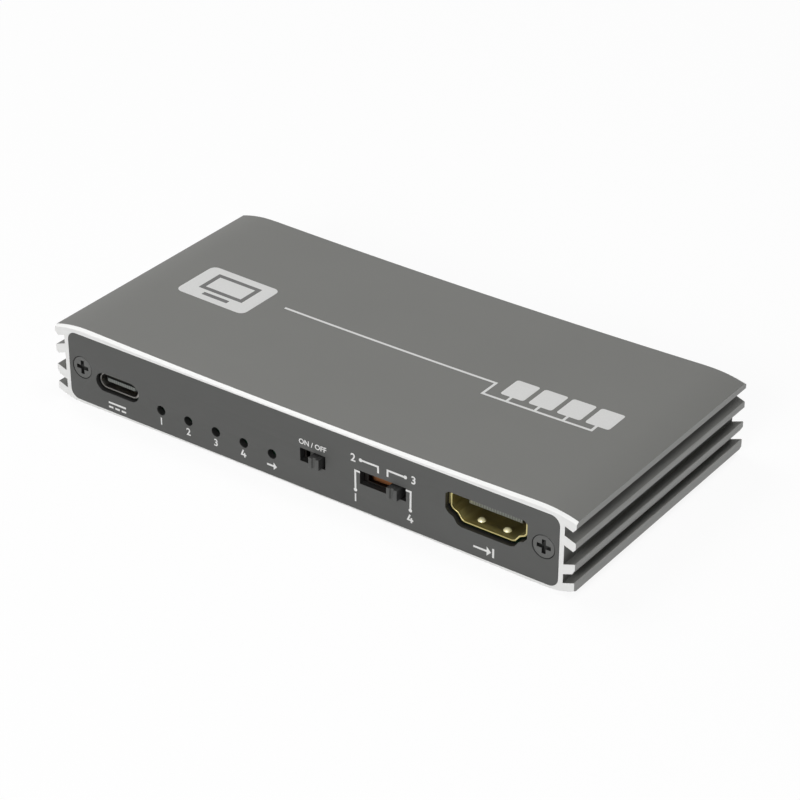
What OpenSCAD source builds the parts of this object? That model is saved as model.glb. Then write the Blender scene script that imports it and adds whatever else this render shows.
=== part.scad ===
// One-in, four-out video splitter in a finned, extruded aluminium case.
// X runs along the connector row, Y from the front panel to the rear, Z up.
// The origin lies under the middle of the case, on the surface it stands on.

/* [Housing] */
// Width over the fin tips
body_w = 107; // [103:0.5:112]
// Depth of the tube, from end face to end face
body_d = 53; // [49:0.5:60]
// Height over the flat lands
body_h = 15.2; // [14.9:0.1:17]
// Hollow of the top face at mid-width
dish = 0.55; // [0.2:0.05:0.6]
// Hollow of the underside at mid-width
under_dish = 0.3; // [0.1:0.05:0.35]
// Width of each flat land beside the hollow of the top
land_w = 1.6; // [1:0.1:5]
// Run of the upper shoulder, from the land to the fin tip
shoulder_w = 6.6; // [4:0.1:7.5]
// Fall of the upper shoulder to the tip of the top fin
shoulder_drop = 1; // [0.8:0.1:1.6]
// Run of the lower shoulder, from the land to the fin tip
under_w = 5.2; // [4:0.1:7]
// Rise of the lower shoulder to the tip of the lowest fin
under_drop = 1.3; // [0.9:0.1:1.6]
// Top and bottom walls at their thinnest
wall_flat = 1.2; // [0.9:0.05:1.3]
// Side wall between the fin roots and the cavity
wall_side = 1.3; // [1.1:0.05:1.5]
// Radius of the cavity corners
cavity_r = 1.5; // [0.5:0.1:2]
// Chamfer of the cut ends, along the depth
chamfer_d = 0.6; // [0.2:0.05:0.8]
// Chamfer of the cut ends, in from the outside
chamfer_in = 0.4; // [0.1:0.05:0.4]

/* [Fins] */
// Length of the fins
fin_len = 2.1; // [1.5:0.1:2.6]
// Thickness of the inner fins
fin_t = 1.8; // [1.4:0.05:2]
// Gap between the two fins of a pair
fin_gap = 1.7; // [1.2:0.05:1.9]
// Gap between the two pairs, at the root
mid_gap = 3.56; // [2.8:0.02:3.8]
// Slope of the fins towards mid-height
fin_slope = 20; // [0:1:24]
// Bevel over the fin tips
fin_edge = 0.12; // [0.05:0.01:0.45]
// Bevel under the tips of the inner fins
fin_under = 0.7; // [0.2:0.05:0.8]
// Bevel under the tip of the top fin
outer_under = 0.95; // [0.2:0.05:1.1]

/* [Panels] */
// Thickness of the end panels
panel_t = 1.2; // [1:0.1:1.5]
// Rim of the tube over a panel, at the lands
lip_over = 1.15; // [1.1:0.05:1.3]
// Rim of the tube under a panel, at the lands
lip_under = 0.9; // [0.85:0.05:1.2]
// Rim of the tube beside a panel
lip_side = 0.85; // [0.6:0.05:1]
// Corner radius of the panels
panel_r = 1.7; // [1:0.1:3]
// Gap between a panel and its rim
panel_clear = 0.05; // [0.02:0.01:0.1]

/* [Panel screws] */
// Distance of the screws from the panel's end
screw_inset = 2.85; // [2.7:0.05:3.3]
// Diameter of the screw shank
screw_d = 2; // [1.6:0.1:2.2]
// Length of the screws
screw_len = 8; // [5:0.5:12]
// Diameter of the countersunk head
head_d = 4; // [3.2:0.1:4.2]
// Depth of the head below the panel's face
head_sunk = 0.1; // [0.05:0.05:0.2]
// Gap between head and countersink
head_clear = 0.15; // [0.05:0.01:0.2]
// Width of the arms of the cross recess
cross_w = 0.75; // [0.3:0.05:0.8]
// Length over the arms of the cross recess
cross_l = 2.6; // [1.6:0.1:2.8]
// Gap between the shank and its channel
thread_clear = 0.05; // [0.02:0.01:0.1]
// Wall round the screw channels
channel_wall = 1.2; // [0.9:0.05:1.3]
// Mouth of the screw channels, towards the cavity
channel_slot = 1; // [0.6:0.1:1.2]

/* [Board] */
// Top of the board below mid-height
board_drop = 2.75; // [2.6:0.05:3]
// Thickness of the board
board_t = 1.6; // [1:0.1:1.6]
// Gap between the board and the side walls
board_side = 0.25; // [0.1:0.05:0.4]
// Gap between the board and the panels
board_end = 0.4; // [0.2:0.05:0.8]
// Gap over the board in its slots
slot_clear = 0.1; // [0.05:0.05:0.2]
// Thickness of the ribs that carry the board
rib_t = 0.65; // [0.5:0.05:0.9]
// Width of the ribs that carry the board
rib_w = 1.5; // [1:0.1:1.8]
// Gap round the legs that pass through the board
leg_clear = 0.1; // [0.05:0.05:0.2]
// Length of legs and pins under the board
leg_out = 0.5; // [0.2:0.1:0.6]

/* [Video sockets] */
// Width of a socket shell
shell_w = 14.6; // [14.2:0.1:15]
// Height of a socket shell
shell_h = 5.2; // [4.9:0.1:5.6]
// Length of a socket shell
shell_len = 11; // [9:0.5:12]
// Sheet of the socket shells
shell_wall = 0.3; // [0.2:0.05:0.4]
// Height of the bent lower flanks
taper_h = 2.25; // [1.8:0.05:2.4]
// Run of the bent lower flanks
taper_w = 2.75; // [2.2:0.05:3]
// Upright step of a shell above the board
socket_lift = 0.9; // [0.6:0.05:1.1]
// Depth of the shell's rim behind the panel's face
socket_recess = 0.8; // [0.5:0.05:1]
// Gap beside and under a shell in its cut-out
socket_clear = 0.45; // [0.3:0.05:0.6]
// Gap over a shell in its cut-out
socket_over = 0.1; // [0.05:0.05:0.6]
// Gap between the turned-out flanks of a shell and its cut-out
flange_clear = 0.1; // [0.05:0.05:0.2]
// Distance between the two grip dimples of a shell
dimple_pitch = 4.9; // [4:0.1:6]
// Grip dimples behind the rim
dimple_back = 1.85; // [1:0.05:2.4]
// Diameter of a grip dimple
dimple_d = 1.4; // [1:0.1:1.8]
// Height of a grip dimple
dimple_h = 0.5; // [0.3:0.05:0.6]
// Width of the socket tongue
tongue_w = 10.1; // [10:0.1:11.4]
// Thickness of the socket tongue
tongue_t = 1.2; // [1:0.05:1.4]
// Underside of the tongue above the shell's underside
tongue_lift = 2.25; // [2.1:0.05:2.8]
// Tip of the tongue behind the rim
tongue_recess = 2; // [0.8:0.1:2.4]
// Depth of the insulator block that closes a shell
insulator_len = 3; // [2:0.5:4]
// Thickness of the insulator's foot on the board
foot_d = 1.2; // [0.8:0.1:1.6]
// Gap round an insulator in its shell
insulator_clear = 0.05; // [0.02:0.01:0.1]
// Spacing of the contacts in one row
contact_pitch = 1; // [0.9:0.05:1.05]
// Width of a contact
contact_w = 0.4; // [0.3:0.05:0.5]
// Thickness of a contact
contact_t = 0.12; // [0.08:0.02:0.2]
// Width of a shell's legs
leg_w = 1.4; // [1:0.1:2]
// Distance of the input socket from the right end of its panel
video_in_inset = 13.65; // [13.4:0.05:15]
// Distance of the outer output sockets from the ends of their panel
out_inset = 16; // [15.5:0.5:22]

/* [Power inlet] */
// Width of the inlet shell
inlet_w = 8.94; // [8.6:0.02:9.2]
// Height of the inlet shell
inlet_h = 3.16; // [3.1:0.02:3.4]
// Length of the inlet shell
inlet_len = 7.4; // [6.5:0.1:9]
// Sheet of the inlet shell
inlet_wall = 0.3; // [0.2:0.05:0.35]
// Depth of the inlet's rim behind the panel's face
inlet_recess = 0.6; // [0.4:0.05:0.9]
// Gap beside and under the inlet in its cut-out
inlet_clear = 0.35; // [0.2:0.05:0.4]
// Gap over the inlet in its cut-out
inlet_over = 0.06; // [0.04:0.01:0.2]
// Width of the inlet tongue
inlet_tongue_w = 6.7; // [6.4:0.1:6.9]
// Thickness of the inlet tongue
inlet_tongue_t = 0.7; // [0.6:0.05:0.8]
// Tip of the inlet tongue behind the rim
inlet_tongue_recess = 0.4; // [0.3:0.1:1.5]
// Distance of the inlet from the left end of its panel
inlet_inset = 10.8; // [10.4:0.05:12]

/* [Indicators] */
// Distance from the inlet to the first indicator
inlet_to_led = 9.8; // [8:0.1:12]
// Distance from the last indicator to the mode switch
led_to_mode = 8.54; // [7.5:0.02:10]
// Diameter of the indicator holes
led_hole_d = 1.8; // [1.4:0.1:2]
// Centre of the holes above the board
led_lift = 0.25; // [0.1:0.05:0.5]
// Width of an indicator lamp
led_w = 1.6; // [1.2:0.1:2]
// Height of an indicator lamp
led_h = 0.8; // [0.6:0.1:1.2]
// Depth of an indicator lamp
led_d = 1; // [0.8:0.1:1.5]
// Gap between a lamp and the panel
led_gap = 0.3; // [0.1:0.05:0.6]

/* [Slide switches] */
// Travel of the mode switch
mode_throw = 2.2; // [1.8:0.05:2.4]
// Travel from one selector position to the next
selector_throw = 1.75; // [1.6:0.05:2]
// Width of a knob
knob_w = 2.1; // [1.6:0.05:2.3]
// Height of a knob
knob_h = 1.95; // [1.6:0.05:2.05]
// Reach of a knob in front of the panel
knob_out = 1.3; // [0.8:0.1:2]
// Height of the switch windows
window_h = 2.5; // [2.3:0.05:2.8]
// Width of the mode switch's window
mode_window = 5.2; // [5:0.05:5.6]
// Width of the selector's window
selector_window = 9.2; // [8.8:0.05:9.6]
// Distance of the mode switch from the right end of its panel
mode_inset = 47.86; // [47:0.02:49]
// Distance of the selector from the right end of its panel
selector_inset = 33.65; // [32:0.05:34]
// Centre of the knobs above the board
knob_lift = 2.45; // [2.3:0.05:2.8]
// Switch frame past its window at each end
frame_end = 2; // [1.6:0.1:2.2]
// Depth of a switch frame
frame_d = 2.9; // [2.8:0.1:4.5]
// Sheet of the switch frames
frame_wall = 0.3; // [0.2:0.05:0.35]
// Gap between the panel and a switch frame
frame_gap = 0.15; // [0.1:0.05:0.3]
// Running gap of a slider in its frame
slide_clear = 0.2; // [0.15:0.05:0.3]
// Thickness of a slider's carriage
carriage_t = 0.8; // [0.6:0.1:0.9]
// Carriage of the selector past its knob on each side
carriage_lap = 0.8; // [0.4:0.1:1]
// Thickness of a switch base
base_t = 0.9; // [0.6:0.1:1]
// Gap round a switch base in its frame
base_clear = 0.05; // [0.02:0.01:0.1]
// Width of the switch pins
pin_w = 0.6; // [0.4:0.05:0.7]
// Sheet of the switch pins
pin_t = 0.3; // [0.2:0.05:0.4]

/* [Board parts] */
// Side of the splitter chip
chip_w = 14; // [10:0.5:16]
// Thickness of the splitter chip
chip_t = 1; // [0.8:0.1:1.6]
// Thickness of the thermal tape
tape_t = 0.2; // [0.1:0.05:0.4]
// Side of the heat sink
sink_w = 16; // [14:0.5:20]
// Height of the heat sink
sink_h = 5; // [3:0.5:6]
// Base of the heat sink
sink_base = 1.4; // [1:0.1:2]
// Thickness of the heat sink's fins
sink_fin = 0.9; // [0.6:0.1:1.2]
// Side of the controller chip
controller_w = 7; // [5:0.5:9]
// Length of the crystal
crystal_w = 3.2; // [2:0.1:5]
// Width of the crystal
crystal_d = 2.5; // [1.6:0.1:3.2]
// Height of the crystal
crystal_h = 0.8; // [0.6:0.1:1.2]
// Length of the regulator chip
regulator_w = 5; // [3:0.1:6]
// Width of the regulator chip
regulator_d = 4; // [3:0.1:5]
// Height of the regulator chip
regulator_h = 1.5; // [1:0.1:1.8]
// Length of a surge array
array_w = 4; // [2.5:0.1:5]
// Width of a surge array
array_d = 1.2; // [1:0.1:2]
// Height of a surge array
array_h = 0.6; // [0.4:0.05:0.7]
// Side of the power inductor
inductor_w = 5; // [4:0.5:6]
// Height of the power inductor
inductor_h = 2.8; // [2:0.1:4]
// Diameter of the bulk capacitors
capacitor_d = 5; // [4:0.5:6.3]
// Height of the bulk capacitors
capacitor_h = 5.4; // [4:0.1:6]

/* [Hidden] */
$fn = 48;
cut = 1;
skin = 0.02;
out_count = 4;
led_count = 5;
mode_positions = 2;
selector_positions = 4;
sink_fins = 6;
mid_z = body_h / 2;
face_y = (knob_out - body_d) / 2;
back_y = face_y + body_d;
root_x = body_w / 2 - fin_len;
fin_fall = fin_len * tan(fin_slope);
bevel_lean = 0.65;
land_in = body_w / 2 - shoulder_w - land_w;
cavity_w = 2 * (root_x - wall_side);
cavity_h = body_h - 2 * (dish + wall_flat);
seat_w = 2 * (root_x - lip_side);
seat_h = body_h - lip_over - lip_under;
seat_z = (lip_under - lip_over) / 2;
panel_w = seat_w - 2 * panel_clear;
panel_h = seat_h - 2 * panel_clear;
screw_x = panel_w / 2 - screw_inset;
channel_r = screw_d / 2 + thread_clear;
head_h = (head_d - screw_d) / 2;
board_top = mid_z - board_drop;
board_w = cavity_w - 2 * board_side;
board_y0 = face_y + panel_t + board_end;
board_y1 = back_y - panel_t - board_end;
// Corners of a bent flank from floor to side, as shares of its run and height
flank = [[0, 0], [0.22, 0.1], [0.51, 0.59], [0.84, 0.76], [1, 1]];
video_in_x = panel_w / 2 - video_in_inset;
inlet_x = inlet_inset - panel_w / 2;
mode_x = panel_w / 2 - mode_inset;
selector_x = panel_w / 2 - selector_inset;
led_x = inlet_x + inlet_to_led;
led_pitch = (mode_x - led_to_mode - led_x) / (led_count - 1);
out_pitch = (panel_w - 2 * out_inset) / (out_count - 1);
shell_end = socket_recess + shell_len;
inlet_end = inlet_recess + inlet_len;
dimple_r = (dimple_d * dimple_d / 4 + dimple_h * dimple_h) / (2 * dimple_h);
frame_y = panel_t + frame_gap;
frame_h = 2 * knob_lift;
chip_x = 2;
chip_y = 0.5;
part_gap = 3;

// Places for pieces: x along a panel, then y inwards from its face, z up from the board
module at_front(x) {
    translate([x, face_y, board_top]) children();
}

module at_rear(x) {
    translate([x, back_y, board_top]) rotate(180) children();
}

function out_x(i) = (out_count + 1 - 2 * i) / 2 * out_pitch;

// A flat outline in X and Z, drawn out along Y from y0
module along_y(y0, length) {
    translate([0, y0 + length, 0]) rotate([90, 0, 0]) linear_extrude(length) children();
}

module rounded_rect(w, h, r) {
    square([w - 2 * r, h], center = true);
    square([w, h - 2 * r], center = true);
    for (sx = [-1, 1]) for (sy = [-1, 1])
        translate([sx * (w / 2 - r), sy * (h / 2 - r)]) circle(r);
}

// A quarter of the housing outline, from mid-width: hollow face, land, round shoulder down to the fin tip
function quarter(hollow, run, drop) = let (r = (run * run + drop * drop) / (2 * drop), turn = asin(run / r)) concat(
    [for (i = [0:10]) let (x = land_in * i / 10) [x, mid_z - hollow * (1 - pow(i / 10, 2))]],
    [for (i = [0:8]) let (a = turn * i / 8) [body_w / 2 - run + r * sin(a), mid_z - r * (1 - cos(a))]]);

function reversed(points) = [for (i = [len(points) - 1:-1:0]) points[i]];

function outline() =
    let (q = quarter(dish, shoulder_w, shoulder_drop), u = quarter(under_dish, under_w, under_drop))
    let (n = len(q)) concat(
        q,
        [for (p = reversed(u)) [p[0], -p[1]]],
        [for (i = [1:n - 1]) [-u[i][0], -u[i][1]]],
        [for (i = [n - 1:-1:1]) [-q[i][0], q[i][1]]]);

// Gap between two fins: z0 and z1 at the root, each side with its own fall, the upper fin bevelled by under
module fin_gap_shape(z0, z1, fall0, fall1, under) {
    tip = body_w / 2;
    back = under * bevel_lean;
    polygon([
        [root_x, z0], [tip - fin_edge, z0 - fall0 * (1 - fin_edge / fin_len)], [tip, z0 - fall0 - fin_edge],
        [tip + cut, z0 - fall0 - fin_edge], [tip + cut, z1 - fall1 + under],
        [tip, z1 - fall1 + under], [tip - back, z1 - fall1 * (1 - back / fin_len)], [root_x, z1]]);
}

module fin_gaps() {
    pair_z = mid_gap / 2 + fin_t;
    fin_gap_shape(-mid_gap / 2, mid_gap / 2, -fin_fall, fin_fall, fin_under);
    fin_gap_shape(pair_z, pair_z + fin_gap, fin_fall, fin_fall, outer_under);
    fin_gap_shape(-pair_z - fin_gap, -pair_z, -fin_fall, -fin_fall, fin_under);
}

// Screw channel and board slot on the right-hand wall of the cavity
module wall_features() {
    difference() {
        union() {
            translate([screw_x, 0]) circle(channel_r + channel_wall);
            translate([screw_x, -channel_wall]) square([root_x - wall_side - screw_x + cut / 4, 2 * channel_wall]);
        }
        translate([screw_x, 0]) circle(channel_r);
        translate([screw_x - channel_r - 2 * channel_wall, -channel_slot / 2])
            square([channel_r + 2 * channel_wall, channel_slot]);
    }
    translate([cavity_w / 2 - rib_w, -board_drop + slot_clear]) square([rib_w + cut / 4, rib_t]);
    translate([cavity_w / 2 - rib_w, -board_drop - board_t - rib_t]) square([rib_w + cut / 4, rib_t]);
}

module cavity_shape() {
    difference() {
        rounded_rect(cavity_w, cavity_h, cavity_r);
        wall_features();
        mirror([1, 0]) wall_features();
    }
}

module housing_profile() {
    difference() {
        polygon(outline());
        cavity_shape();
        fin_gaps();
        mirror([1, 0]) fin_gaps();
    }
}

// What the chamfer takes off the top and bottom of the front end, with the end face at y = 0
module end_chamfer() {
    inset = chamfer_in / chamfer_d;
    tall = mid_z + cut * inset;
    low = tall - inset * (chamfer_d + 2 * cut);
    difference() {
        translate([-body_w / 2 - cut, -cut, -mid_z - cut])
            cube([body_w + 2 * cut, chamfer_d + cut + cut / 2, body_h + 2 * cut]);
        translate([0, chamfer_d + cut, 0]) rotate([90, 0, 0])
            linear_extrude(chamfer_d + 2 * cut, scale = [1, low / tall], slices = 1)
                scale([1 + 2 * skin / body_w, tall / mid_z]) polygon(outline());
    }
}

module housing() {
    color("dimgray") translate([0, 0, mid_z]) difference() {
        along_y(face_y, body_d) housing_profile();
        for (y = [face_y - cut, back_y - panel_t]) translate([0, 0, seat_z])
            along_y(y, panel_t + cut) rounded_rect(seat_w, seat_h, panel_r + panel_clear);
        translate([0, face_y, 0]) end_chamfer();
        translate([0, back_y, 0]) rotate(180) end_chamfer();
    }
}

// An outline that runs against the clock, drawn in by t, its corners kept
function drawn_in(points, t) = let (n = len(points)) [for (i = [0:n - 1])
    let (p = points[i], a = p - points[(i + n - 1) % n], b = points[(i + 1) % n] - p)
    let (na = [-a[1], a[0]] / norm(a), nb = [-b[1], b[0]] / norm(b))
    p + (na + nb) * (t / (1 + na * nb))];

// Socket outline, its underside on z = 0, drawn in by t all round, its top lowered further by sink
module socket_shape(t, sink = 0, corner = 2 * shell_wall) {
    half = shell_w / 2;
    top = shell_h - sink;
    right = concat(
        [for (f = flank) [half - taper_w + taper_w * f[0], taper_h * f[1]]],
        [[half, top - corner], [half - corner, top]]);
    polygon(drawn_in(concat(right, [for (p = reversed(right)) [-p[0], p[1]]]), t));
}

// Outline with round ends, its underside on z = 0
module round_ended(w, h) {
    translate([0, h / 2]) {
        square([w - h, h], center = true);
        for (s = [-1, 1]) translate([s * (w - h) / 2, 0]) circle(h / 2);
    }
}

// Inlet outline, its underside on z = 0, drawn in by t all round
module inlet_shape(t) {
    translate([0, t]) round_ended(inlet_w - 2 * t, inlet_h - 2 * t);
}

// End panel with its corners round and its screw holes countersunk from y = 0
module panel_plate() {
    difference() {
        translate([0, 0, board_drop + seat_z]) along_y(0, panel_t) rounded_rect(panel_w, panel_h, panel_r);
        for (s = [-1, 1]) translate([s * screw_x, 0, board_drop]) rotate([-90, 0, 0]) {
            translate([0, 0, -cut]) cylinder(r = screw_d / 2 + head_clear, h = panel_t + 2 * cut);
            translate([0, 0, head_sunk])
                cylinder(r1 = head_d / 2 + head_clear, r2 = screw_d / 2 + head_clear, h = head_h);
            translate([0, 0, -cut]) cylinder(r = head_d / 2 + head_clear, h = cut + head_sunk);
        }
    }
}

module socket_cutout() {
    translate([0, 0, socket_lift]) along_y(-cut, panel_t + 2 * cut)
        socket_shape(-socket_clear, socket_clear - socket_over, shell_wall);
}

module inlet_cutout() {
    translate([0, 0, -inlet_clear]) along_y(-cut, panel_t + 2 * cut)
        round_ended(inlet_w + 2 * inlet_clear, inlet_h + inlet_clear + inlet_over);
}

// Each switch is known by its number of positions
function step(positions) = positions == mode_positions ? mode_throw : selector_throw;
function travel(positions) = (positions - 1) * step(positions);
function window_w(positions) = positions == mode_positions ? mode_window : selector_window;

module window(positions) {
    translate([-window_w(positions) / 2, -cut, knob_lift - window_h / 2])
        cube([window_w(positions), panel_t + 2 * cut, window_h]);
}

module front_panel() {
    color("#5e5e5b") difference() {
        at_front(0) panel_plate();
        at_front(inlet_x) inlet_cutout();
        for (i = [0:led_count - 1]) at_front(led_x + i * led_pitch) translate([0, -cut, led_lift])
            rotate([-90, 0, 0]) cylinder(d = led_hole_d, h = panel_t + 2 * cut);
        at_front(mode_x) window(mode_positions);
        at_front(selector_x) window(selector_positions);
        at_front(video_in_x) socket_cutout();
    }
}

module rear_panel() {
    color("#5e5e5b") difference() {
        at_rear(0) panel_plate();
        for (i = [1:out_count]) at_rear(out_x(i)) socket_cutout();
    }
}

// Countersunk screw with its axis along +Y and its head's top at y = head_sunk
module panel_screw() {
    rotate([-90, 0, 0]) difference() {
        union() {
            translate([0, 0, head_sunk]) cylinder(r1 = head_d / 2, r2 = screw_d / 2, h = head_h);
            translate([0, 0, head_sunk]) cylinder(d = screw_d, h = screw_len);
        }
        for (a = [0, 90]) rotate(a) translate([-cross_l / 2, -cross_w / 2, 0])
            cube([cross_l, cross_w, head_sunk + head_h * 2 / 3]);
    }
}

module front_screws() {
    color("#4a4a48") for (s = [-1, 1]) at_front(s * screw_x) translate([0, 0, board_drop]) panel_screw();
}

module rear_screws() {
    color("#4a4a48") for (s = [-1, 1]) at_rear(s * screw_x) translate([0, 0, board_drop]) panel_screw();
}

// The four legs of a shell, upright plates on both flanks, reaching through the board
module shell_legs(half_w, wall, top, y_list, clear = 0) {
    for (s = [-1, 1]) for (y = y_list)
        translate([s * (half_w - wall / 2) - wall / 2 - clear, y - leg_w / 2 - clear, -board_t - leg_out])
            cube([wall + 2 * clear, leg_w + 2 * clear, top + board_t + leg_out]);
}

module socket_legs(clear = 0) {
    shell_legs(shell_w / 2, shell_wall, socket_lift + taper_h + shell_wall,
        [socket_recess + shell_len / 4, shell_end - leg_w], clear);
}

module inlet_legs(clear = 0) {
    shell_legs(inlet_w / 2, inlet_wall, inlet_h / 2,
        [inlet_recess + inlet_len / 3, inlet_end - leg_w], clear);
}

function pin_y() = frame_y + frame_d + pin_t;

// Upright parts of the switch pins, one more than there are positions
module pin_posts(positions, top, clear = 0) {
    for (i = [0:positions])
        translate([(i - positions / 2) * step(positions) - pin_w / 2 - clear, pin_y() - clear, -board_t - leg_out])
            cube([pin_w + 2 * clear, pin_t + 2 * clear, top + board_t + leg_out]);
}

function frame_w(positions) = window_w(positions) + 2 * frame_end;

module frame_legs(positions, clear = 0) {
    shell_legs(frame_w(positions) / 2, frame_wall, frame_wall, [frame_y + frame_d / 2], clear);
}

module main_board() {
    color("#1d4f35") difference() {
        translate([-board_w / 2, board_y0, board_top - board_t])
            cube([board_w, board_y1 - board_y0, board_t]);
        at_front(video_in_x) socket_legs(leg_clear);
        for (i = [1:out_count]) at_rear(out_x(i)) socket_legs(leg_clear);
        at_front(inlet_x) inlet_legs(leg_clear);
        at_front(mode_x) {
            pin_posts(mode_positions, cut, leg_clear);
            frame_legs(mode_positions, leg_clear);
        }
        at_front(selector_x) {
            pin_posts(selector_positions, cut, leg_clear);
            frame_legs(selector_positions, leg_clear);
        }
    }
}

// Socket shell: folded sheet with its flanks turned out at the rim, two grip dimples on its floor, four legs
module socket_shell() {
    flange = shell_wall + socket_clear - flange_clear;
    translate([0, 0, socket_lift]) {
        difference() {
            along_y(socket_recess, shell_len) socket_shape(0);
            along_y(socket_recess - cut, shell_len + 2 * cut) socket_shape(shell_wall);
        }
        for (s = [-1, 1]) {
            translate([s * (shell_w / 2 - shell_wall + flange / 2) - flange / 2, socket_recess, taper_h + shell_wall])
                cube([flange, shell_wall, shell_h - taper_h - 3 * shell_wall]);
            intersection() {
                translate([s * dimple_pitch / 2, socket_recess + dimple_back, shell_wall + dimple_h - dimple_r])
                    sphere(dimple_r);
                translate([-shell_w / 2, 0, shell_wall / 2]) cube([shell_w, shell_end, shell_h]);
            }
        }
    }
    socket_legs();
}

// Socket insulator: block that closes the shell, tongue with a bevelled tip, foot on the board
module socket_insulator() {
    block_y = shell_end - insulator_len;
    tip_y = socket_recess + tongue_recess;
    bevel = tongue_t / 4;
    translate([0, 0, socket_lift]) {
        along_y(block_y, insulator_len) socket_shape(shell_wall + insulator_clear);
        translate([-tongue_w / 2, 0, tongue_lift]) rotate([90, 0, 90]) linear_extrude(tongue_w)
            polygon([
                [block_y, 0], [block_y, tongue_t], [tip_y + bevel, tongue_t],
                [tip_y, tongue_t - bevel], [tip_y, bevel], [tip_y + bevel, 0]]);
    }
    translate([taper_w - shell_w / 2, shell_end, 0])
        cube([shell_w - 2 * taper_w, foot_d, socket_lift + shell_h - 2 * shell_wall]);
}

// Two rows of contacts on the tongue, the lower row standing between the upper ones
module socket_contacts() {
    y0 = socket_recess + tongue_recess + tongue_t / 2;
    y1 = shell_end - insulator_len;
    for (i = [0:9]) translate([(i - 4.5) * contact_pitch - contact_w / 2, y0, socket_lift + tongue_lift + tongue_t])
        cube([contact_w, y1 - y0, contact_t]);
    for (i = [0:8]) translate([(i - 4) * contact_pitch - contact_w / 2, y0, socket_lift + tongue_lift - contact_t])
        cube([contact_w, y1 - y0, contact_t]);
}

module video_in_shell() {
    color("goldenrod") at_front(video_in_x) socket_shell();
}

module video_in_insulator() {
    color("#1c1c1c") at_front(video_in_x) socket_insulator();
}

module video_in_contacts() {
    color("gold") at_front(video_in_x) socket_contacts();
}

module video_out_shell(i) {
    color("goldenrod") at_rear(out_x(i)) socket_shell();
}

module video_out_insulator(i) {
    color("#1c1c1c") at_rear(out_x(i)) socket_insulator();
}

module video_out_contacts(i) {
    color("gold") at_rear(out_x(i)) socket_contacts();
}

module power_inlet_shell() {
    color("silver") at_front(inlet_x) {
        difference() {
            along_y(inlet_recess, inlet_len) inlet_shape(0);
            along_y(inlet_recess - cut, inlet_len + 2 * cut) inlet_shape(inlet_wall);
        }
        difference() {
            inlet_legs();
            along_y(0, inlet_end + cut) inlet_shape(inlet_wall / 2);
        }
    }
}

module power_inlet_insulator() {
    block_y = inlet_end - inlet_len / 3;
    tip_y = inlet_recess + inlet_tongue_recess;
    side_x = inlet_tongue_w / 2;
    bevel = inlet_tongue_t / 2;
    color("#222222") at_front(inlet_x) {
        along_y(block_y, inlet_end - block_y) inlet_shape(inlet_wall + insulator_clear);
        translate([0, 0, (inlet_h - inlet_tongue_t) / 2]) linear_extrude(inlet_tongue_t)
            polygon([
                [-side_x, block_y], [-side_x, tip_y + bevel], [bevel - side_x, tip_y],
                [side_x - bevel, tip_y], [side_x, tip_y + bevel], [side_x, block_y]]);
    }
}

module power_inlet_contacts() {
    y0 = inlet_recess + inlet_tongue_recess + inlet_tongue_t;
    y1 = inlet_end - inlet_len / 3;
    color("gold") at_front(inlet_x) for (i = [0:11]) for (s = [0, 1])
        translate([
            (i - 5.5) * contact_pitch / 2 - contact_w / 3, y0,
            (inlet_h - inlet_tongue_t) / 2 + s * inlet_tongue_t - (1 - s) * contact_t])
            cube([contact_w * 2 / 3, y1 - y0, contact_t]);
}

module indicator(i) {
    color("#30302e") at_front(led_x + (i - 1) * led_pitch)
        translate([-led_w / 2, panel_t + led_gap, 0]) cube([led_w, led_d, led_h]);
}

// Switch frame: sheet box, open at the back, slotted for the knob, legs at its ends
module switch_frame(positions) {
    w = frame_w(positions);
    slot_w = travel(positions) + knob_w + 2 * slide_clear;
    slot_h = knob_h + 2 * slide_clear;
    difference() {
        translate([-w / 2, frame_y, 0]) cube([w, frame_d, frame_h]);
        translate([frame_wall - w / 2, frame_y + frame_wall, frame_wall])
            cube([w - 2 * frame_wall, frame_d + cut, frame_h - 2 * frame_wall]);
        translate([-slot_w / 2, frame_y - cut, knob_lift - slot_h / 2])
            cube([slot_w, frame_wall + 2 * cut, slot_h]);
    }
    frame_legs(positions);
}

module switch_base(positions) {
    rim = frame_wall + base_clear;
    w = frame_w(positions) - 2 * rim;
    translate([-w / 2, frame_y + frame_d - base_t, rim]) cube([w, base_t, frame_h - 2 * rim]);
}

module switch_pins(positions) {
    pin_posts(positions, knob_lift + pin_t / 2);
    for (i = [0:positions])
        translate([(i - positions / 2) * step(positions) - pin_w / 2, frame_y + frame_d, knob_lift - pin_t / 2])
            cube([pin_w, 2 * pin_t, pin_t]);
}

function rest_x(positions) = travel(positions) / 2;
carriage_y = frame_y + frame_wall + slide_clear;

// Slider at its last position: grooved knob in front, carriage behind the frame's slot; that of the mode
// switch fills its slot
module switch_slider(positions) {
    carriage_w = positions == mode_positions
        ? frame_w(positions) - 2 * (frame_wall + slide_clear) - travel(positions)
        : knob_w + 2 * carriage_lap;
    carriage_h = frame_h - 2 * (frame_wall + slide_clear);
    translate([rest_x(positions), 0, knob_lift]) {
        difference() {
            translate([-knob_w / 2, -knob_out, -knob_h / 2])
                cube([knob_w, knob_out + carriage_y + carriage_t / 2, knob_h]);
            translate([0, -knob_out, -knob_h]) cylinder(r = knob_w / 6, h = 2 * knob_h);
        }
        translate([-carriage_w / 2, carriage_y, -carriage_h / 2]) cube([carriage_w, carriage_t, carriage_h]);
    }
}

// Spring strip on the carriage's back with two round contact points
module switch_wiper(positions) {
    room = frame_y + frame_d - base_t - carriage_y - carriage_t;
    strip = room / 3;
    strip_w = step(positions) + pin_w;
    translate([rest_x(positions) - strip_w / 2, carriage_y + carriage_t, knob_lift - pin_w]) {
        cube([strip_w, strip, 2 * pin_w]);
        for (x = [strip, strip_w - strip]) translate([x, strip, 0]) cylinder(r = strip, h = 2 * pin_w);
    }
}

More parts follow.
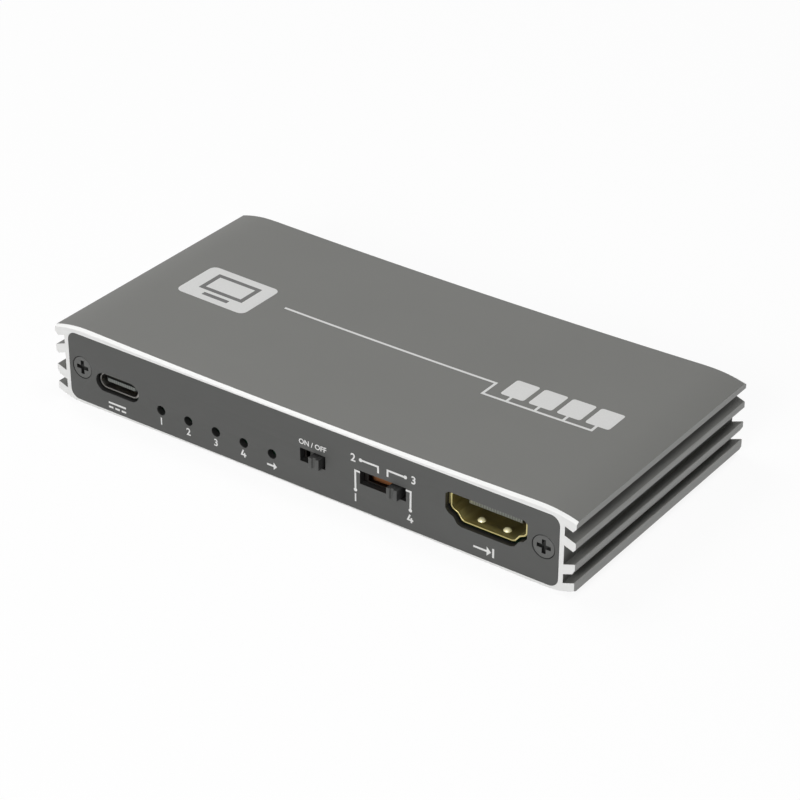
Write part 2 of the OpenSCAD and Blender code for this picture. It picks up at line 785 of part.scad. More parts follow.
module mode_switch_frame() {
    color("silver") at_front(mode_x) switch_frame(mode_positions);
}

module mode_switch_base() {
    color("#6b4423") at_front(mode_x) switch_base(mode_positions);
}

module mode_switch_pins() {
    color("silver") at_front(mode_x) switch_pins(mode_positions);
}

module mode_switch_slider() {
    color("#262626") at_front(mode_x) switch_slider(mode_positions);
}

module mode_switch_wiper() {
    color("peru") at_front(mode_x) switch_wiper(mode_positions);
}

module selector_frame() {
    color("silver") at_front(selector_x) switch_frame(selector_positions);
}

module selector_base() {
    color("#6b4423") at_front(selector_x) switch_base(selector_positions);
}

module selector_pins() {
    color("silver") at_front(selector_x) switch_pins(selector_positions);
}

module selector_slider() {
    color("#262626") at_front(selector_x) switch_slider(selector_positions);
}

module selector_wiper() {
    color("peru") at_front(selector_x) switch_wiper(selector_positions);
}

// A block of the given size, its middle at x and y on the board
module on_board(x, y, size, lift = 0) {
    translate([x - size[0] / 2, y - size[1] / 2, board_top + lift]) cube(size);
}

controller_x = chip_x - sink_w / 2 - part_gap - controller_w;
regulator_x = inlet_x + part_gap;
inductor_x = regulator_x + part_gap + inductor_w;

module splitter_chip() {
    color("#202020") on_board(chip_x, chip_y, [chip_w, chip_w, chip_t]);
}

module thermal_tape() {
    color("#d8d8d0") on_board(chip_x, chip_y, [chip_w, chip_w, tape_t], chip_t);
}

module heat_sink() {
    gap = (sink_w - sink_fins * sink_fin) / (sink_fins - 1);
    color("gainsboro") difference() {
        on_board(chip_x, chip_y, [sink_w, sink_w, sink_h], chip_t + tape_t);
        for (i = [1:sink_fins - 1])
            translate([
                chip_x - sink_w / 2 + i * (sink_fin + gap) - gap,
                chip_y - sink_w / 2 - cut,
                board_top + chip_t + tape_t + sink_base])
                cube([gap, sink_w + 2 * cut, sink_h]);
    }
}

module controller_chip() {
    color("#202020") on_board(controller_x, chip_y, [controller_w, controller_w, chip_t]);
}

module crystal() {
    color("silver") on_board(controller_x, chip_y + controller_w / 2 + part_gap, [crystal_w, crystal_d, crystal_h]);
}

module regulator_chip() {
    color("#202020") on_board(regulator_x, chip_y - inductor_w, [regulator_w, regulator_d, regulator_h]);
}

module power_inductor() {
    color("#303030") difference() {
        on_board(inductor_x, chip_y - inductor_w, [inductor_w, inductor_w, inductor_h]);
        translate([inductor_x, chip_y - inductor_w, board_top + inductor_h - inductor_h / 6])
            cylinder(d = inductor_w / 2, h = inductor_h);
    }
}

module bulk_capacitors() {
    color("lightgray") for (i = [0, 1])
        translate([regulator_x + i * (capacitor_d + part_gap), chip_y + capacitor_d, board_top])
            cylinder(d = capacitor_d, h = capacitor_h);
}

// One small protection array behind each video socket's foot
module surge_arrays() {
    size = [array_w, array_d, array_h];
    y = shell_end + foot_d + array_d;
    color("#262626") {
        at_front(video_in_x) translate([-array_w / 2, y, 0]) cube(size);
        for (i = [1:out_count]) at_rear(out_x(i)) translate([-array_w / 2, y, 0]) cube(size);
    }
}

housing();
front_panel();
rear_panel();
front_screws();
rear_screws();
main_board();
video_in_shell();
video_in_insulator();
video_in_contacts();
for (i = [1:out_count]) {
    video_out_shell(i);
    video_out_insulator(i);
    video_out_contacts(i);
}
power_inlet_shell();
power_inlet_insulator();
power_inlet_contacts();
for (i = [1:led_count]) {
    indicator(i);
}
mode_switch_frame();
mode_switch_base();
mode_switch_pins();
mode_switch_slider();
mode_switch_wiper();
selector_frame();
selector_base();
selector_pins();
selector_slider();
selector_wiper();
splitter_chip();
thermal_tape();
heat_sink();
controller_chip();
crystal();
regulator_chip();
power_inductor();
bulk_capacitors();
surge_arrays();
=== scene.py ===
from math import cos, pi, radians, sin

import bmesh
import bpy
from mathutils import Matrix, Vector


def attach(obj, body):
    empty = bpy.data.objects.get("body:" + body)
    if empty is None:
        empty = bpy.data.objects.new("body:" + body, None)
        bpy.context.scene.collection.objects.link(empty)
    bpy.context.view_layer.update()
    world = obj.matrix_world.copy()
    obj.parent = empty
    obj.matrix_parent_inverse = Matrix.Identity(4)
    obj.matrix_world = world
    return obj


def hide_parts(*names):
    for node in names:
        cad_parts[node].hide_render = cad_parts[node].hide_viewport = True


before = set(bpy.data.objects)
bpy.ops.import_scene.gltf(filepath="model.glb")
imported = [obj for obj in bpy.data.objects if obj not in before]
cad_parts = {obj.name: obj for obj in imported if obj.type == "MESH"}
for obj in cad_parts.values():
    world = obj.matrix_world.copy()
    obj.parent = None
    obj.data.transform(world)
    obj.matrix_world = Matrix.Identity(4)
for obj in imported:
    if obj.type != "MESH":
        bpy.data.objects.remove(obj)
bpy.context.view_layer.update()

# The view: a long lens in front and to the right of the box, looking down on it.
# The picture is square, with the lens axis through its middle.
mm = 0.001
turn, tilt, lean = radians(35.563), radians(30.599), radians(0.176)
lens_back = Vector((sin(turn) * cos(tilt), -cos(turn) * cos(tilt), sin(tilt)))
level = Vector((cos(turn), sin(turn), 0.0))
upright = lens_back.cross(level)
lens_right = level * cos(lean) + upright * sin(lean)
lens_up = upright * cos(lean) - level * sin(lean)
lens_place = Vector((223.559, -310.273, 231.352)) * mm
lens = bpy.data.cameras.new("photo_lens")
lens.sensor_fit = "HORIZONTAL"
lens.sensor_width = 36.0
lens.lens = 116.294
lens.clip_start = 0.01
lens.clip_end = 20.0
camera = bpy.data.objects.new("photo_camera", lens)
bpy.context.scene.collection.objects.link(camera)
camera.matrix_world = Matrix.Translation(lens_place) @ Matrix(
    (lens_right, lens_up, lens_back)).transposed().to_4x4()
bpy.context.scene.camera = camera
bpy.context.scene.view_settings.view_transform = "Standard"

# The table and the room: a white sheet between soft lamps at the left, in front and high on the right.
# Looked at, the room is plain white and the sheet keeps a faint shadow.
room_white = (1.0, 1.0, 1.0, 1.0)
room_fill = 0.07
sheet_glow = 0.90
sheet_shade = (0.11, 0.11, 0.11, 1.0)
sheet_bounce = (0.85, 0.85, 0.85, 1.0)
sheet_half = 2.5
sheet_gap = 0.02 * mm


def looked_at(tree):
    """1 where a surface is looked at, straight, mirrored or through glass; 0 where it only lights others."""
    path = tree.nodes.new("ShaderNodeLightPath")
    seen = path.outputs["Is Camera Ray"]
    for way in ("Is Glossy Ray", "Is Transmission Ray"):
        either = tree.nodes.new("ShaderNodeMath")
        either.operation = "MAXIMUM"
        tree.links.new(seen, either.inputs[0])
        tree.links.new(path.outputs[way], either.inputs[1])
        seen = either.outputs[0]
    return seen


room = bpy.data.worlds.new("white_room")
bpy.context.scene.world = room
room.use_nodes = True
tree = room.node_tree
tree.nodes.clear()
shown = tree.nodes.new("ShaderNodeBackground")
shown.inputs["Color"].default_value = room_white
shown.inputs["Strength"].default_value = 1.0
fill = tree.nodes.new("ShaderNodeBackground")
fill.inputs["Color"].default_value = (0.99, 0.995, 1.0, 1.0)
fill.inputs["Strength"].default_value = room_fill
choose = tree.nodes.new("ShaderNodeMixShader")
world_out = tree.nodes.new("ShaderNodeOutputWorld")
tree.links.new(looked_at(tree), choose.inputs["Fac"])
tree.links.new(fill.outputs[0], choose.inputs[1])
tree.links.new(shown.outputs[0], choose.inputs[2])
tree.links.new(choose.outputs[0], world_out.inputs["Surface"])

sheet_white = bpy.data.materials.new("white_sheet")
sheet_white.use_nodes = True
tree = sheet_white.node_tree
tree.nodes.clear()
paper = tree.nodes.new("ShaderNodeBsdfDiffuse")
paper.inputs["Color"].default_value = sheet_bounce
soft_paper = tree.nodes.new("ShaderNodeBsdfDiffuse")
soft_paper.inputs["Color"].default_value = sheet_shade
glow = tree.nodes.new("ShaderNodeEmission")
glow.inputs["Color"].default_value = room_white
glow.inputs["Strength"].default_value = sheet_glow
lifted = tree.nodes.new("ShaderNodeAddShader")
choose = tree.nodes.new("ShaderNodeMixShader")
sheet_out = tree.nodes.new("ShaderNodeOutputMaterial")
tree.links.new(soft_paper.outputs[0], lifted.inputs[0])
tree.links.new(glow.outputs[0], lifted.inputs[1])
tree.links.new(looked_at(tree), choose.inputs["Fac"])
tree.links.new(paper.outputs[0], choose.inputs[1])
tree.links.new(lifted.outputs[0], choose.inputs[2])
tree.links.new(choose.outputs[0], sheet_out.inputs["Surface"])

shape = bmesh.new()
bmesh.ops.create_grid(shape, x_segments=1, y_segments=1, size=sheet_half)
bmesh.ops.translate(shape, verts=shape.verts, vec=(0, 0, -sheet_gap))
sheet_mesh = bpy.data.meshes.new("table_sheet")
shape.to_mesh(sheet_mesh)
shape.free()
table = bpy.data.objects.new("table_sheet", sheet_mesh)
sheet_mesh.materials.append(sheet_white)
bpy.context.scene.collection.objects.link(table)


def lamp(name, place, size, power):
    """A round soft lamp that faces the middle of the table."""
    light = bpy.data.lights.new(name, "AREA")
    light.shape = "DISK"
    light.size = size
    light.energy = power
    stand = bpy.data.objects.new(name, light)
    bpy.context.scene.collection.objects.link(stand)
    place = Vector(place)
    stand.matrix_world = Matrix.Translation(place) @ place.to_track_quat("Z", "Y").to_matrix().to_4x4()


lamp("left_lamp", (-0.60, 0.10, 0.76), 0.6, 3.0)
lamp("right_lamp", (0.22, 0.10, 0.94), 0.45, 2.4)
lamp("front_lamp", (0.14, -0.86, 0.42), 0.45, 5.7)

# The housing: aluminium extruded as a flat tube with hollow faces, round shoulders and slanted fins.
# It is blasted and anodised grey, then sawn to length; its two ends are left bright, with a chamfer.
case_grey = (0.176, 0.177, 0.168, 1.0)
case_grey_light = (0.190, 0.191, 0.181, 1.0)
cut_low = (0.74, 0.74, 0.73, 1.0)
cut_high = (0.82, 0.82, 0.81, 1.0)
cut_slope, tip_slope = 0.3, 0.7
tip_x, under_lid = 53.0 * mm, 13.0 * mm
blast_scale, blast_depth = 6500.0, 0.004 * mm


def finish_tree(name, metal, rough):
    """A material with one principled shader, its even values set on the shader itself."""
    made = bpy.data.materials.new(name)
    made.use_nodes = True
    shader = made.node_tree.nodes["Principled BSDF"]
    shader.inputs["Metallic"].default_value = metal
    shader.inputs["Roughness"].default_value = rough
    return made, made.node_tree, shader


def mottle(tree, scale, detail=3.0, stretch=(1.0, 1.0, 1.0)):
    """A noise on the piece's own coordinates, scale in grains to the metre."""
    place = tree.nodes.new("ShaderNodeTexCoord")
    mapping = tree.nodes.new("ShaderNodeMapping")
    mapping.inputs["Scale"].default_value = stretch
    noise = tree.nodes.new("ShaderNodeTexNoise")
    noise.inputs["Scale"].default_value = scale
    noise.inputs["Detail"].default_value = detail
    tree.links.new(place.outputs["Object"], mapping.inputs["Vector"])
    tree.links.new(mapping.outputs["Vector"], noise.inputs["Vector"])
    return noise.outputs["Fac"]


def blend_colours(tree, factor, low, high):
    """A colour that goes from low to high as factor goes from 0 to 1."""
    mix = tree.nodes.new("ShaderNodeMix")
    mix.data_type = "RGBA"
    for socket, colour in (("A_Color", low), ("B_Color", high)):
        next(i for i in mix.inputs if i.identifier == socket).default_value = colour
    tree.links.new(factor, next(i for i in mix.inputs if i.identifier == "Factor_Float"))
    return next(o for o in mix.outputs if o.identifier == "Result_Color")


def blend_values(tree, factor, low, high):
    """A number that goes from low to high as factor goes from 0 to 1."""
    span = tree.nodes.new("ShaderNodeMapRange")
    span.inputs["To Min"].default_value = low
    span.inputs["To Max"].default_value = high
    tree.links.new(factor, span.inputs["Value"])
    return span.outputs["Result"]


def grain(tree, shader, factor, depth):
    """A bump of the given depth on the whole finish."""
    bump = tree.nodes.new("ShaderNodeBump")
    bump.inputs["Strength"].default_value = 1.0
    bump.inputs["Distance"].default_value = depth
    tree.links.new(factor, bump.inputs["Height"])
    tree.links.new(bump.outputs["Normal"], shader.inputs["Normal"])


def plain_finish(
        name, metal, rough, low, high, scale, detail=3.0, stretch=(1.0, 1.0, 1.0), spread=0.06):
    """A finish whose colour wanders between low and high and whose gloss wanders with a finer grain."""
    made, tree, shader = finish_tree(name, metal, rough)
    tree.links.new(
        blend_colours(tree, mottle(tree, scale, detail, stretch), low, high), shader.inputs["Base Color"])
    fine = mottle(tree, 3.0 * scale, detail, stretch)
    tree.links.new(blend_values(tree, fine, rough - spread, rough + spread), shader.inputs["Roughness"])
    return made


def anodised(name, low, high, cloud, smooth, rough):
    """Blasted and dyed aluminium, nearly matt, in faint clouds, cloud of them to the metre."""
    made, tree, shader = finish_tree(name, 0.1, (smooth + rough) / 2)
    shader.inputs["Specular IOR Level"].default_value = 0.25
    blasted = mottle(tree, blast_scale, 2.0)
    tree.links.new(
        blend_colours(tree, mottle(tree, cloud, 4.0), low, high), shader.inputs["Base Color"])
    tree.links.new(blend_values(tree, blasted, smooth, rough), shader.inputs["Roughness"])
    grain(tree, shader, blasted, blast_depth)
    return made


case_finish = anodised("anodised_extrusion", case_grey, case_grey_light, 60.0, 0.5, 0.62)
# The fin tips get a paler finish: a painted sheen, standing for the light they catch from the right.
tip_sheen_finish = plain_finish(
    "painted_sheen_tips", 0.2, 0.45, (0.262, 0.263, 0.254, 1.0), (0.310, 0.311, 0.300, 1.0), 900.0, 4.0,
    (1.0, 0.1, 1.0))

cut_finish, tree, shader = finish_tree("bright_cut", 0.2, 0.45)
turned = mottle(tree, 900.0, 4.0, (0.15, 1.0, 1.0))
tree.links.new(blend_colours(tree, turned, cut_low, cut_high), shader.inputs["Base Color"])
tree.links.new(blend_values(tree, turned, 0.38, 0.54), shader.inputs["Roughness"])
grain(tree, shader, turned, 0.003 * mm)


def dressed(node, piece, finish, body="case", edge=0.0, crisp=30.0, facing=()):
    """A merged, smoothly shaded copy of a solid that stands for it, its crisp edges broken by edge.

    facing gives further finishes, each with a test of a face that says where it goes.
    """
    shape = bmesh.new()
    shape.from_mesh(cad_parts[node].data)
    bmesh.ops.remove_doubles(shape, verts=shape.verts, dist=0.0005 * mm)
    bmesh.ops.dissolve_limit(
        shape, angle_limit=radians(0.1), use_dissolve_boundaries=False, verts=shape.verts, edges=shape.edges,
        delimit=set())
    if edge:
        corners = [
            e for e in shape.edges if len(e.link_faces) == 2 and e.calc_face_angle() > radians(crisp)]
        bmesh.ops.bevel(
            shape, geom=corners, offset=edge, offset_type="OFFSET", segments=2, profile=0.5, affect="EDGES",
            material=-1, clamp_overlap=True)
    shape.normal_update()
    for face in shape.faces:
        face.material_index = next((i for i, (_, test) in enumerate(facing, 1) if test(face)), 0)
    mesh = bpy.data.meshes.new(piece)
    shape.to_mesh(mesh)
    shape.free()
    mesh.shade_smooth()
    mesh.set_sharp_from_angle(angle=radians(crisp))
    for coat in (finish, *(other for other, _ in facing)):
        mesh.materials.append(coat)
    made = bpy.data.objects.new(piece, mesh)
    bpy.context.scene.collection.objects.link(made)
    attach(made, body)
    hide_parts(node)


def on_sheen_fin_tips(face):
    """The outer faces of the fins below the lid, painted paler as the sheen they catch from the light at the
    right.
    """
    place = face.calc_center_median()
    return abs(place.x) > tip_x and (place.z < under_lid or abs(face.normal.x) > tip_slope)


dressed("housing", "finned_tube", case_finish, crisp=20.0,
        facing=[(cut_finish, lambda face: abs(face.normal.y) > cut_slope), (tip_sheen_finish, on_sheen_fin_tips)])

# The board and what it carries: green laminate with black chips, a finned sink on thermal tape,
# an inductor, capacitor cans and a crystal. It slides into slots of the tube before the panels close it.


def paint_node(name, finish):
    """A solid that is shown as it is gets its finish."""
    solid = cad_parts[name]
    solid.data.materials.clear()
    solid.data.materials.append(finish)


paint_node("main_board", plain_finish(
    "solder_mask", 0.0, 0.35, (0.006, 0.034, 0.018, 1.0), (0.012, 0.056, 0.029, 1.0), 900.0, 5.0))
epoxy = plain_finish("chip_epoxy", 0.0, 0.55, (0.010, 0.010, 0.011, 1.0), (0.022, 0.022, 0.023, 1.0), 4000.0)
for chip in ("splitter_chip", "controller_chip", "regulator_chip", "surge_arrays"):
    paint_node(chip, epoxy)
paint_node("thermal_tape", plain_finish(
    "thermal_pad", 0.0, 0.8, (0.58, 0.58, 0.54, 1.0), (0.68, 0.68, 0.64, 1.0), 2500.0))
plain_metal = plain_finish(
    "plain_aluminium", 1.0, 0.4, (0.52, 0.52, 0.52, 1.0), (0.66, 0.66, 0.66, 1.0), 1500.0, 3.0,
    (1.0, 0.05, 1.0))
for piece in ("heat_sink", "bulk_capacitors", "crystal"):
    paint_node(piece, plain_metal)
paint_node("power_inductor", plain_finish(
    "pressed_ferrite", 0.2, 0.6, (0.022, 0.022, 0.024, 1.0), (0.04, 0.04, 0.042, 1.0), 5000.0))

# The video sockets: folded and gilt sheet shells round a black moulded tongue with two rows of contacts.
# They are soldered to the board, one at the front and four at the rear.
gilt = plain_finish(
    "gilt_sheet", 0.95, 0.34, (0.54, 0.47, 0.19, 1.0), (0.68, 0.61, 0.30, 1.0), 250.0, 3.0, spread=0.05)
# The domes on the shell floors: a painted highlight, pale and less metallic so that they read bright.
gilt_painted_highlight = plain_finish(
    "gilt_painted_highlight", 0.25, 0.35, (0.90, 0.85, 0.55, 1.0), (0.96, 0.92, 0.66, 1.0), 900.0)
moulded_black = plain_finish(
    "moulded_black", 0.0, 0.4, (0.014, 0.015, 0.015, 1.0), (0.028, 0.030, 0.028, 1.0), 3000.0, spread=0.08)
slot_waves = 628.0  # for bands half a millimetre apart
# The tongue ends: painted light, paler than the black moulding as if lit from the front, in waved bands that
# stand for the contact slots.
tongue_tip_painted_lit, tree, shader = finish_tree("tongue_tip_painted_lit", 0.0, 0.35)
slots = tree.nodes.new("ShaderNodeTexWave")
slots.inputs["Scale"].default_value = slot_waves
slots.inputs["Distortion"].default_value = 0.3
tree.links.new(tree.nodes.new("ShaderNodeTexCoord").outputs["Object"], slots.inputs["Vector"])
tree.links.new(
    blend_colours(tree, slots.outputs["Fac"], (0.075, 0.083, 0.076, 1.0), (0.165, 0.175, 0.163, 1.0)),
    shader.inputs["Base Color"])
gilt_strip = plain_finish(
    "gilt_strip", 1.0, 0.22, (0.62, 0.48, 0.20, 1.0), (0.74, 0.60, 0.30, 1.0), 2000.0)
mid_y = 0.65 * mm
tip_reach, end_slope = 23.0 * mm, 0.6
dimple_reach, dimple_off, dimple_r = 22.8 * mm, 2.45 * mm, 0.75 * mm
dimple_low, dimple_high = 6.08 * mm, 6.65 * mm


def at_tip(face):
    """The end of a tongue, less than 3.5 mm inside its panel."""
    return abs(face.normal.y) > end_slope and abs(face.calc_center_median().y - mid_y) > tip_reach


def on_dimples(shell):
    """The test for the two domes on a shell's floor, which are painted bright as a highlight."""
    middle = sum(v.co.x for v in shell.vertices) / len(shell.vertices)

    def test(face):
        place = face.calc_center_median()
        return (abs(abs(place.x - middle) - dimple_off) < dimple_r and abs(place.y - mid_y) > dimple_reach
                and dimple_low < place.z < dimple_high)
    return test


for socket in ("video_in", "video_out_1", "video_out_2", "video_out_3", "video_out_4"):
    dressed(socket + "_shell", socket + "_gilt_shell", gilt, edge=0.06 * mm,
            facing=[(gilt_painted_highlight, on_dimples(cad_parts[socket + "_shell"].data))])
    dressed(socket + "_insulator", socket + "_tongue", moulded_black, edge=0.06 * mm,
            facing=[(tongue_tip_painted_lit, at_tip)])
    paint_node(socket + "_contacts", gilt_strip)

# The power inlet: a seamless nickel-plated shell with round ends, its tongue in the middle.
# It stands on the board with its rim just behind the panel.
nickel = plain_finish(
    "nickel_sheet", 1.0, 0.32, (0.24, 0.23, 0.22, 1.0), (0.34, 0.33, 0.31, 1.0), 900.0, 4.0)
dressed("power_inlet_shell", "inlet_shell", nickel, edge=0.05 * mm)
dressed("power_inlet_insulator", "inlet_tongue", moulded_black, edge=0.05 * mm,
        facing=[(tongue_tip_painted_lit, at_tip)])
paint_node("power_inlet_contacts", gilt_strip)

# The indicator lamps: five small lamps with glossy lenses, painted near black as the shade in their holes.
# They stand at the board's front edge, each behind a round hole in the panel.
lamp_painted_shade = plain_finish(
    "painted_shade_lamp", 0.0, 0.25, (0.010, 0.011, 0.010, 1.0), (0.020, 0.022, 0.020, 1.0), 2500.0)
for number in range(1, 6):
    dressed(f"indicator_{number}", f"lamp_{number}", lamp_painted_shade, edge=0.08 * mm)

# The slide switches: a sheet frame on legs, a phenolic base behind, a black knob with one groove between.
# The knob's front faces are painted paler, as lit from the front, and the rest stays black. It carries a
# spring wiper and clicks along a row of pins.
tinned = plain_finish(
    "tinned_sheet", 0.7, 0.45, (0.014, 0.012, 0.011, 1.0), (0.026, 0.023, 0.020, 1.0), 1200.0, 4.0)
phenolic = plain_finish(
    "brown_phenolic", 0.0, 0.4, (0.22, 0.080, 0.030, 1.0), (0.36, 0.155, 0.062, 1.0), 700.0, 6.0,
    (0.2, 1.0, 1.0))
phenolic_black = plain_finish(
    "black_phenolic", 0.0, 0.5, (0.010, 0.009, 0.008, 1.0), (0.020, 0.017, 0.014, 1.0), 1500.0)
knob_slope = 0.3


def knob_plastic(name, rough, low, high):
    """Moulded plastic with a fine grain."""
    made, tree, shader = finish_tree(name, 0.0, rough)
    tree.links.new(blend_colours(tree, mottle(tree, 3000.0), low, high), shader.inputs["Base Color"])
    grain(tree, shader, mottle(tree, 6000.0), 0.004 * mm)
    return made


knob_black = knob_plastic("knob_black", 0.45, (0.008, 0.008, 0.008, 1.0), (0.015, 0.015, 0.0145, 1.0))
# The knob's front-facing faces: painted light, paler than the black knob as if lit from the front.
knob_front_painted_lit = knob_plastic("knob_front_painted_lit", 0.5, (0.052, 0.053, 0.051, 1.0), (0.072, 0.073, 0.070, 1.0))
spring_brass = plain_finish(
    "spring_brass", 1.0, 0.3, (0.50, 0.33, 0.12, 1.0), (0.62, 0.43, 0.18, 1.0), 1500.0)
for switch, body, board in (
        ("mode_switch", "mode_slider", phenolic_black), ("selector", "selector_slider", phenolic)):
    dressed(switch + "_frame", switch + "_sheet_frame", tinned, edge=0.05 * mm)
    dressed(switch + "_base", switch + "_plate", board, edge=0.05 * mm)
    paint_node(switch + "_pins", tinned)
    dressed(switch + "_slider", switch + "_knob", knob_black, body, edge=0.1 * mm,
            facing=[(knob_front_painted_lit, lambda face: face.normal.y < -knob_slope)])
    paint_node(switch + "_wiper", spring_brass)

# The end panels: punched aluminium plates, anodised grey and let flush into the tube's ends; their grey is
# painted darker than the tube's as shade.
# Their punched edges and hole walls are painted nearly black as shade.
panel_grey_painted_shade = anodised(
    "anodised_panel", (0.090, 0.091, 0.088, 1.0), (0.101, 0.102, 0.099, 1.0), 80.0, 0.55, 0.66)
# Faces across the plate (edges, hole walls, countersinks): painted shade, nearly black.
punched_edge_painted_shade = plain_finish(
    "punched_edge_painted_shade", 0.3, 0.5, (0.020, 0.020, 0.020, 1.0), (0.034, 0.034, 0.033, 1.0), 2500.0)
plate_slope = 0.8
for side in ("front", "rear"):
    dressed(side + "_panel", side + "_plate", panel_grey_painted_shade, edge=0.06 * mm,
            facing=[(punched_edge_painted_shade, lambda face: abs(face.normal.y) < plate_slope)])

# The panel screws: dark-plated countersunk screws with a cross recess, two in each panel.
# The flat of each head keeps the plated grey; recess, flank and thread are painted near black as shade.
screw_dark = plain_finish(
    "plated_head", 0.4, 0.45, (0.100, 0.101, 0.098, 1.0), (0.126, 0.127, 0.123, 1.0), 1800.0, 4.0)
screw_painted_shade = plain_finish(
    "painted_shade_recess", 0.3, 0.5, (0.012, 0.012, 0.012, 1.0), (0.024, 0.024, 0.023, 1.0), 3000.0)
head_reach = 26.3 * mm


def under_head(face):
    """All of a screw but the flat of its head."""
    return abs(face.calc_center_median().y - mid_y) < head_reach


for side in ("front", "rear"):
    dressed(side + "_screws", side + "_panel_screws", screw_dark, edge=0.06 * mm,
            facing=[(screw_painted_shade, under_head)])

# The prints: ink screened on the anodised faces, about a hundredth of a millimetre thick.
# Figures and plain signs stand by the switches, lamps and sockets; the lid shows one screen feeding four.
ink = plain_finish("white_ink", 0.0, 0.6, (0.70, 0.70, 0.69, 1.0), (0.78, 0.78, 0.77, 1.0), 4000.0)
dark_ink = plain_finish("grey_ink", 0.0, 0.6, (0.120, 0.120, 0.117, 1.0), (0.150, 0.150, 0.146, 1.0), 4000.0)
ink_thick = 0.012
face_y = -25.85
mid_z = 7.6
lid_z, lid_hollow, lid_half = 15.2, 0.55, 45.3


def on_front(u, v, lift):
    """u along the row of sockets, v up from the middle of the front panel."""
    return Vector((u, face_y - lift, mid_z + v)) * mm


def on_lid(u, v, lift):
    """u along the row of sockets, v in from the front face, on the hollow of the lid."""
    return Vector((u, face_y + v, lid_z - lid_hollow * (1.0 - (u / lid_half) ** 2) + lift)) * mm


def patch(shape, outline):
    """One flat face with the given corners."""
    shape.faces.new([shape.verts.new((u, v, 0.0)) for u, v in outline])


def stroke(shape, points, width, step=2.0):
    """A line of even width along points, its corners mitred, in pieces no longer than step."""
    sides = []
    for i, here in enumerate(points):
        here = Vector(here)
        ways = []
        if i:
            ways.append((here - Vector(points[i - 1])).normalized())
        if i < len(points) - 1:
            ways.append((Vector(points[i + 1]) - here).normalized())
        across = sum((Vector((-w.y, w.x)) for w in ways), Vector((0.0, 0.0))).normalized()
        reach = 0.5 * width / across.dot(Vector((-ways[0].y, ways[0].x)))
        sides.append((here + across * reach, here - across * reach))
    for (a, b), (c, d) in zip(sides, sides[1:]):
        count = max(1, round((c - a).length / step))
        for k in range(count):
            near, far = k / count, (k + 1) / count
            patch(shape, (a.lerp(c, near), b.lerp(d, near), b.lerp(d, far), a.lerp(c, far)))


def dot(shape, centre, radius, count=20):
    """A round spot with count corners."""
    turns = [2 * pi * i / count for i in range(count)]
    patch(shape, [(centre[0] + radius * cos(a), centre[1] + radius * sin(a)) for a in turns])


def rounded_sides(half_u, half_v, radius, steps=6, strip=2.0):
    """Places along a rounded rectangle, each with half the height there."""
    turns = [i / steps * pi / 2 for i in range(steps + 1)]
    straight_u, straight_v = half_u - radius, half_v - radius
    ends = [(straight_u + radius * cos(a), straight_v + radius * sin(a)) for a in turns]
    inner = [straight_u - strip * k for k in range(1, int(straight_u / strip) + 1)]
    right = ends + [(u, half_v) for u in inner]
    return [(-u, v) for u, v in right] + [(u, v) for u, v in reversed(right)]


def tablet(shape, centre, half_u, half_v, radius):
    """A filled rounded rectangle in upright strips, so that it can follow a hollow."""
    sides = rounded_sides(half_u, half_v, radius)
    for (u0, h0), (u1, h1) in zip(sides, sides[1:]):
        if u1 - u0 > 1e-6:
            corners = ((u0, -h0), (u1, -h1), (u1, h1), (u0, h0))
            patch(shape, [(centre[0] + u, centre[1] + v) for u, v in corners])


def figures(shape, body, centre, height, bold=0.02):
    """Plain figures or letters, set in the middle of their place."""
    font = bpy.data.curves.new("figures", "FONT")
    font.body = body
    font.resolution_u = 4
    font.offset = bold
    sample = bpy.data.objects.new("figures", font)
    bpy.context.scene.collection.objects.link(sample)
    flat = bpy.data.meshes.new_from_object(sample.evaluated_get(bpy.context.evaluated_depsgraph_get()))
    bpy.data.objects.remove(sample)
    bpy.data.curves.remove(font)
    low = [min(v.co[k] for v in flat.vertices) for k in (0, 1)]
    high = [max(v.co[k] for v in flat.vertices) for k in (0, 1)]
    scale = height / (high[1] - low[1])
    made = [shape.verts.new((
        centre[0] + (v.co.x - (low[0] + high[0]) / 2) * scale,
        centre[1] + (v.co.y - (low[1] + high[1]) / 2) * scale, 0.0)) for v in flat.vertices]
    for face in flat.polygons:
        shape.faces.new([made[i] for i in face.vertices])
    bpy.data.meshes.remove(flat)


def open_four(shape, centre, height):
    """A figure 4 with an open top, in lines as wide as those of the other figures."""
    u, v = centre
    wide = 0.2 * height
    bar = v - 0.18 * height
    stem = u + 0.14 * height
    top, left, right = u - 0.04 * height, u - 0.33 * height, u + 0.38 * height
    stroke(shape, ((top, v + 0.5 * height), (left, bar), (right, bar)), wide)
    stroke(shape, ((stem, v + 0.12 * height), (stem, bar + wide / 2)), wide)
    stroke(shape, ((stem, bar - wide / 2), (stem, v - 0.5 * height)), wide)


def printed(name, shape, place, finish, base=0.0):
    """The flat drawing given its thickness and laid on its face."""
    bmesh.ops.remove_doubles(shape, verts=shape.verts, dist=0.002)
    bmesh.ops.recalc_face_normals(shape, faces=shape.faces)
    raised = bmesh.ops.extrude_face_region(shape, geom=shape.faces[:])
    for part in raised["geom"]:
        if isinstance(part, bmesh.types.BMVert):
            part.co.z = ink_thick
    for vert in shape.verts:
        vert.co = place(vert.co.x, vert.co.y, vert.co.z + base)
    bmesh.ops.recalc_face_normals(shape, faces=shape.faces)
    mesh = bpy.data.meshes.new(name)
    shape.to_mesh(mesh)
    shape.free()
    mesh.materials.append(finish)
    made = bpy.data.objects.new(name, mesh)
    bpy.context.scene.collection.objects.link(made)
    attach(made, "case")


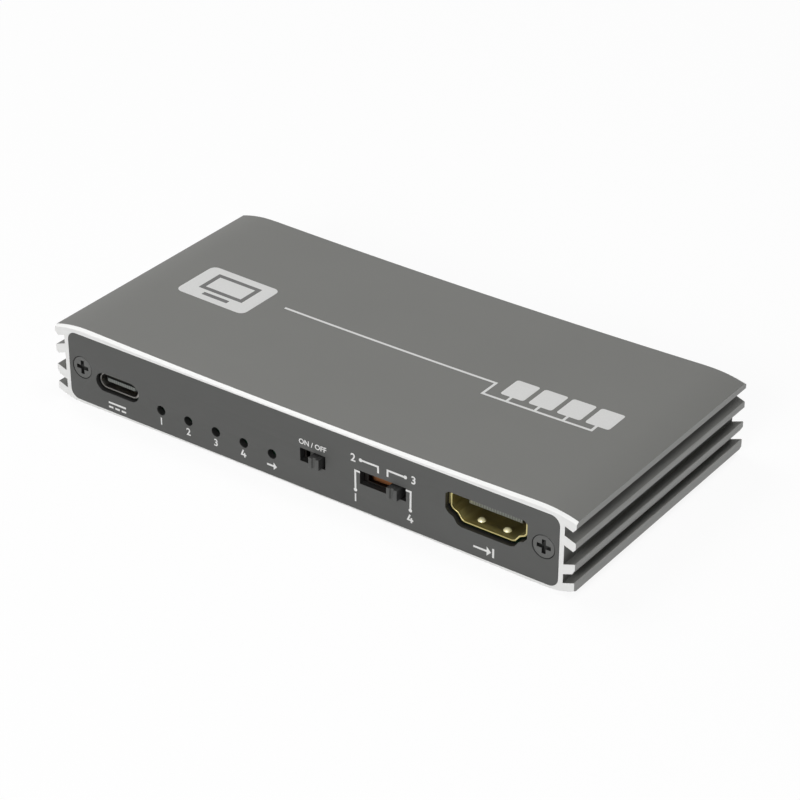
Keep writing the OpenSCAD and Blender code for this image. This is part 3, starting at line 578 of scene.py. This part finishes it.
line, spot = 0.36, 0.34
figure_h, lamp_figure_h = 1.5, 1.4
lamp_x, lamp_pitch, lamp_row = -29.95, 6.0, -4.6
signs = bmesh.new()
for points in (
        ((11.36, -3.0), (11.33, 0.65), (12.29, 0.64)), ((12.43, 2.99), (15.90, 3.01), (15.92, 1.79)),
        ((21.3, 3.0), (17.80, 3.0), (17.78, 1.81)), ((22.33, -2.91), (22.37, 0.62), (21.43, 0.63))):
    dot(signs, points[0], spot)
    away = (Vector(points[1]) - Vector(points[0])).normalized()
    stroke(signs, (Vector(points[0]) + away * spot,) + points[1:], line)
for body, centre in (("1", (11.36, -4.5)), ("2", (10.9, 3.0)), ("3", (22.9, 3.0))):
    figures(signs, body, centre, figure_h)
open_four(signs, (22.33, -4.5), figure_h)
for number in range(3):
    figures(signs, str(number + 1), (lamp_x + lamp_pitch * number, lamp_row), lamp_figure_h)
open_four(signs, (lamp_x + lamp_pitch * 3, lamp_row), lamp_figure_h)
figures(signs, "ON / OFF", (2.65, 2.25), 1.0)


def arrow(shape, tip, length, half):
    """An arrow that points to the right."""
    stroke(shape, ((tip[0] - length, tip[1]), (tip[0] - half, tip[1])), line)
    patch(shape, ((tip[0] - half, tip[1] - half), tip, (tip[0] - half, tip[1] + half)))


arrow(signs, (-4.9, -4.76), 2.1, 0.7)
arrow(signs, (38.0, -4.9), 3.4, 0.85)
stroke(signs, ((38.4, -5.75), (38.4, -4.05)), line)
current_x, dash, dash_pitch = -41.9, 1.0, 1.45
stroke(signs, ((current_x, -4.95), (-38.0, -4.95)), line)
for k in range(3):
    start = current_x + dash_pitch * k
    stroke(signs, ((start, -5.8), (start + dash, -5.8)), line)
printed("front_signs", signs, on_front, ink)

lid = bmesh.new()
badge_x, badge_y = -36.2, 26.4
tablet(lid, (badge_x, badge_y), 7.6, 5.4, 1.3)
feed_from, feed_to, feed = -24.2, 20.3, 27.4
bus, screen_foot, lid_line = 23.3, 24.9, 0.5
screen_half_u, screen_half_v, screen_round = 2.3, 2.7, 0.5
columns = (25.0, 30.5, 36.0, 41.5)
last = columns[-1]
stroke(lid, ((feed_from, feed), (feed_to, feed), (feed_to, bus), (last, bus), (last, screen_foot)), lid_line)
for column in columns:
    if column != last:
        stroke(lid, ((column, bus + lid_line / 2), (column, screen_foot)), lid_line)
    tablet(lid, (column, screen_foot + screen_half_v), screen_half_u, screen_half_v, screen_round)
printed("lid_signs", lid, on_lid, ink)

badge = bmesh.new()
badge_line = 0.9
screen_low, screen_high, screen_left, screen_right = 24.6, 29.6, -40.6, -31.8
stroke(badge, (
    (badge_x, screen_low), (screen_left, screen_low), (screen_left, screen_high), (screen_right, screen_high),
    (screen_right, screen_low), (badge_x, screen_low)), badge_line)
stroke(badge, ((-39.0, 22.9), (-33.4, 22.9)), badge_line)
printed("lid_badge", badge, on_lid, dark_ink, ink_thick)
